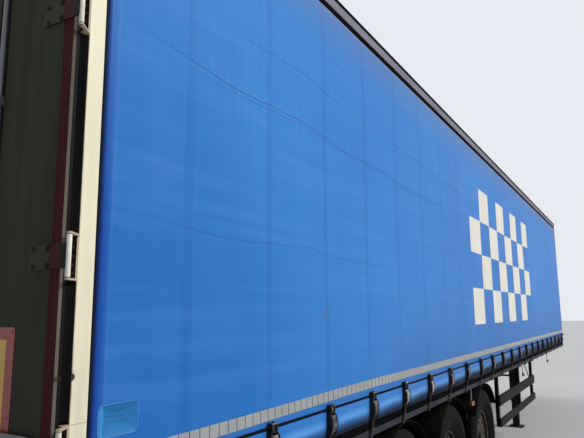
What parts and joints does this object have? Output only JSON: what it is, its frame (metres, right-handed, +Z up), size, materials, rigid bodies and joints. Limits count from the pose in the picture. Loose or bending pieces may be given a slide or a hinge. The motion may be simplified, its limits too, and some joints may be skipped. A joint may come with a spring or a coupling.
{
  "type": "curtain-sided semi trailer",
  "caption": "Semi trailer with tensioned side curtains, tarpaulin roof, hinged rear doors, wheels on trailing-arm axles, side guards and landing legs.",
  "frame": {"origin": "on the ground, under the middle of the whole trailer's length and width", "axes": "+X forward to the kingpin end, +Y left, +Z up"},
  "size_m": [13.82, 2.6306, 3.9998],
  "materials": {
    "aluminium_profile": "mill finish, weathered",
    "amber_lens": "lamp lens",
    "axle_paint": "black paint with road dirt",
    "bellows_rubber": "matt rubber",
    "buffer_rubber": "matt rubber",
    "cable_cover": "black plastic sheath over steel",
    "chassis_paint": "satin black paint, dusty",
    "cream_paint": "ivory paint, dirty, rust at chips",
    "curtain_fabric": "coated polyester, satin",
    "door_paint": "weathered grey-olive paint",
    "galvanised_steel": "dull zinc",
    "guard_aluminium": "black coated aluminium",
    "guard_plastic": "black plastic, dusty",
    "lath_aluminium": "mill finish",
    "leg_paint": "brown primer with road dirt",
    "pin_steel": "greased forged steel",
    "plywood_floor": "dark phenolic film, scuffed",
    "red_lens": "lamp lens",
    "rim_paint": "dark dusty paint",
    "roof_fabric": "translucent coated polyester",
    "strap_steel": "black coated steel and webbing",
    "tyre_rubber": "worn rubber",
    "white_paint": "white paint, chipped"
  },
  "bodies": {
    "trailer": {"air_springs": "bellows_rubber", "air_tanks": "chassis_paint", "axle_front": "axle_paint", "axle_middle": "axle_paint", "axle_rear": "axle_paint", "cant_rails": "aluminium_profile", "chassis_beams": "chassis_paint", "coupling_plate": "chassis_paint", "cross_members": "chassis_paint", "curtain_left": "curtain_fabric", "curtain_right": "curtain_fabric", "customs_cables": "cable_cover", "floor_deck": "plywood_floor", "front_couplings": "galvanised_steel", "front_posts": "aluminium_profile", "front_wall": "white_paint", "hangers": "chassis_paint", "hinge_brackets": "galvanised_steel", "kingpin": "pin_steel", "landing_gear_drive": "leg_paint", "landing_legs": "leg_paint", "marker_lamps": "amber_lens", "mudguards": "guard_plastic", "rear_buffers": "buffer_rubber", "rear_header": "cream_paint", "rear_lamps": "red_lens", "rear_posts": "cream_paint", "rear_sill": "chassis_paint", "roof_bows": "aluminium_profile", "roof_sheet": "roof_fabric", "shock_absorbers": "axle_paint", "side_guard_left": "guard_aluminium", "side_guard_right": "guard_aluminium", "side_laths": "lath_aluminium", "side_pillars": "galvanised_steel", "side_raves": "aluminium_profile", "straps_left": "strap_steel", "straps_right": "strap_steel", "tension_tubes": "aluminium_profile", "trailing_arms": "axle_paint", "underrun_bar": "guard_aluminium"},
    "wheel_rear_left": {"tyre_rear_left": "tyre_rubber", "rim_rear_left": "rim_paint"},
    "wheel_rear_right": {"tyre_rear_right": "tyre_rubber", "rim_rear_right": "rim_paint"},
    "wheel_middle_left": {"tyre_middle_left": "tyre_rubber", "rim_middle_left": "rim_paint"},
    "wheel_middle_right": {"tyre_middle_right": "tyre_rubber", "rim_middle_right": "rim_paint"},
    "wheel_front_left": {"tyre_front_left": "tyre_rubber", "rim_front_left": "rim_paint"},
    "wheel_front_right": {"tyre_front_right": "tyre_rubber", "rim_front_right": "rim_paint"},
    "door_left": {"door_left": "door_paint", "hinge_straps_left": "white_paint", "lock_rods_left": "galvanised_steel"},
    "door_right": {"door_right": "door_paint", "hinge_straps_right": "white_paint", "lock_rods_right": "galvanised_steel"}
  },
  "joints": [
    {"name": "wheel_rear_left_spin", "type": "hinge", "parent": "trailer", "child": "wheel_rear_left", "pos_m": [-3.71, 1.02, 0.535], "axis": [0, 1, 0], "continuous": true},
    {"name": "wheel_rear_right_spin", "type": "hinge", "parent": "trailer", "child": "wheel_rear_right", "pos_m": [-3.71, -1.02, 0.535], "axis": [0, 1, 0], "continuous": true},
    {"name": "wheel_middle_left_spin", "type": "hinge", "parent": "trailer", "child": "wheel_middle_left", "pos_m": [-2.4, 1.02, 0.535], "axis": [0, 1, 0], "continuous": true},
    {"name": "wheel_middle_right_spin", "type": "hinge", "parent": "trailer", "child": "wheel_middle_right", "pos_m": [-2.4, -1.02, 0.535], "axis": [0, 1, 0], "continuous": true},
    {"name": "wheel_front_left_spin", "type": "hinge", "parent": "trailer", "child": "wheel_front_left", "pos_m": [-1.09, 1.02, 0.535], "axis": [0, 1, 0], "continuous": true},
    {"name": "wheel_front_right_spin", "type": "hinge", "parent": "trailer", "child": "wheel_front_right", "pos_m": [-1.09, -1.02, 0.535], "axis": [0, 1, 0], "continuous": true},
    {"name": "door_left_swing", "type": "hinge", "parent": "trailer", "child": "door_left", "pos_m": [-6.847, 1.3, 2.5], "axis": [0, 0, -1], "range_deg": [0, 265]},
    {"name": "door_right_swing", "type": "hinge", "parent": "trailer", "child": "door_right", "pos_m": [-6.847, -1.3, 2.5], "axis": [0, 0, 1], "range_deg": [0, 265]}
  ]
}
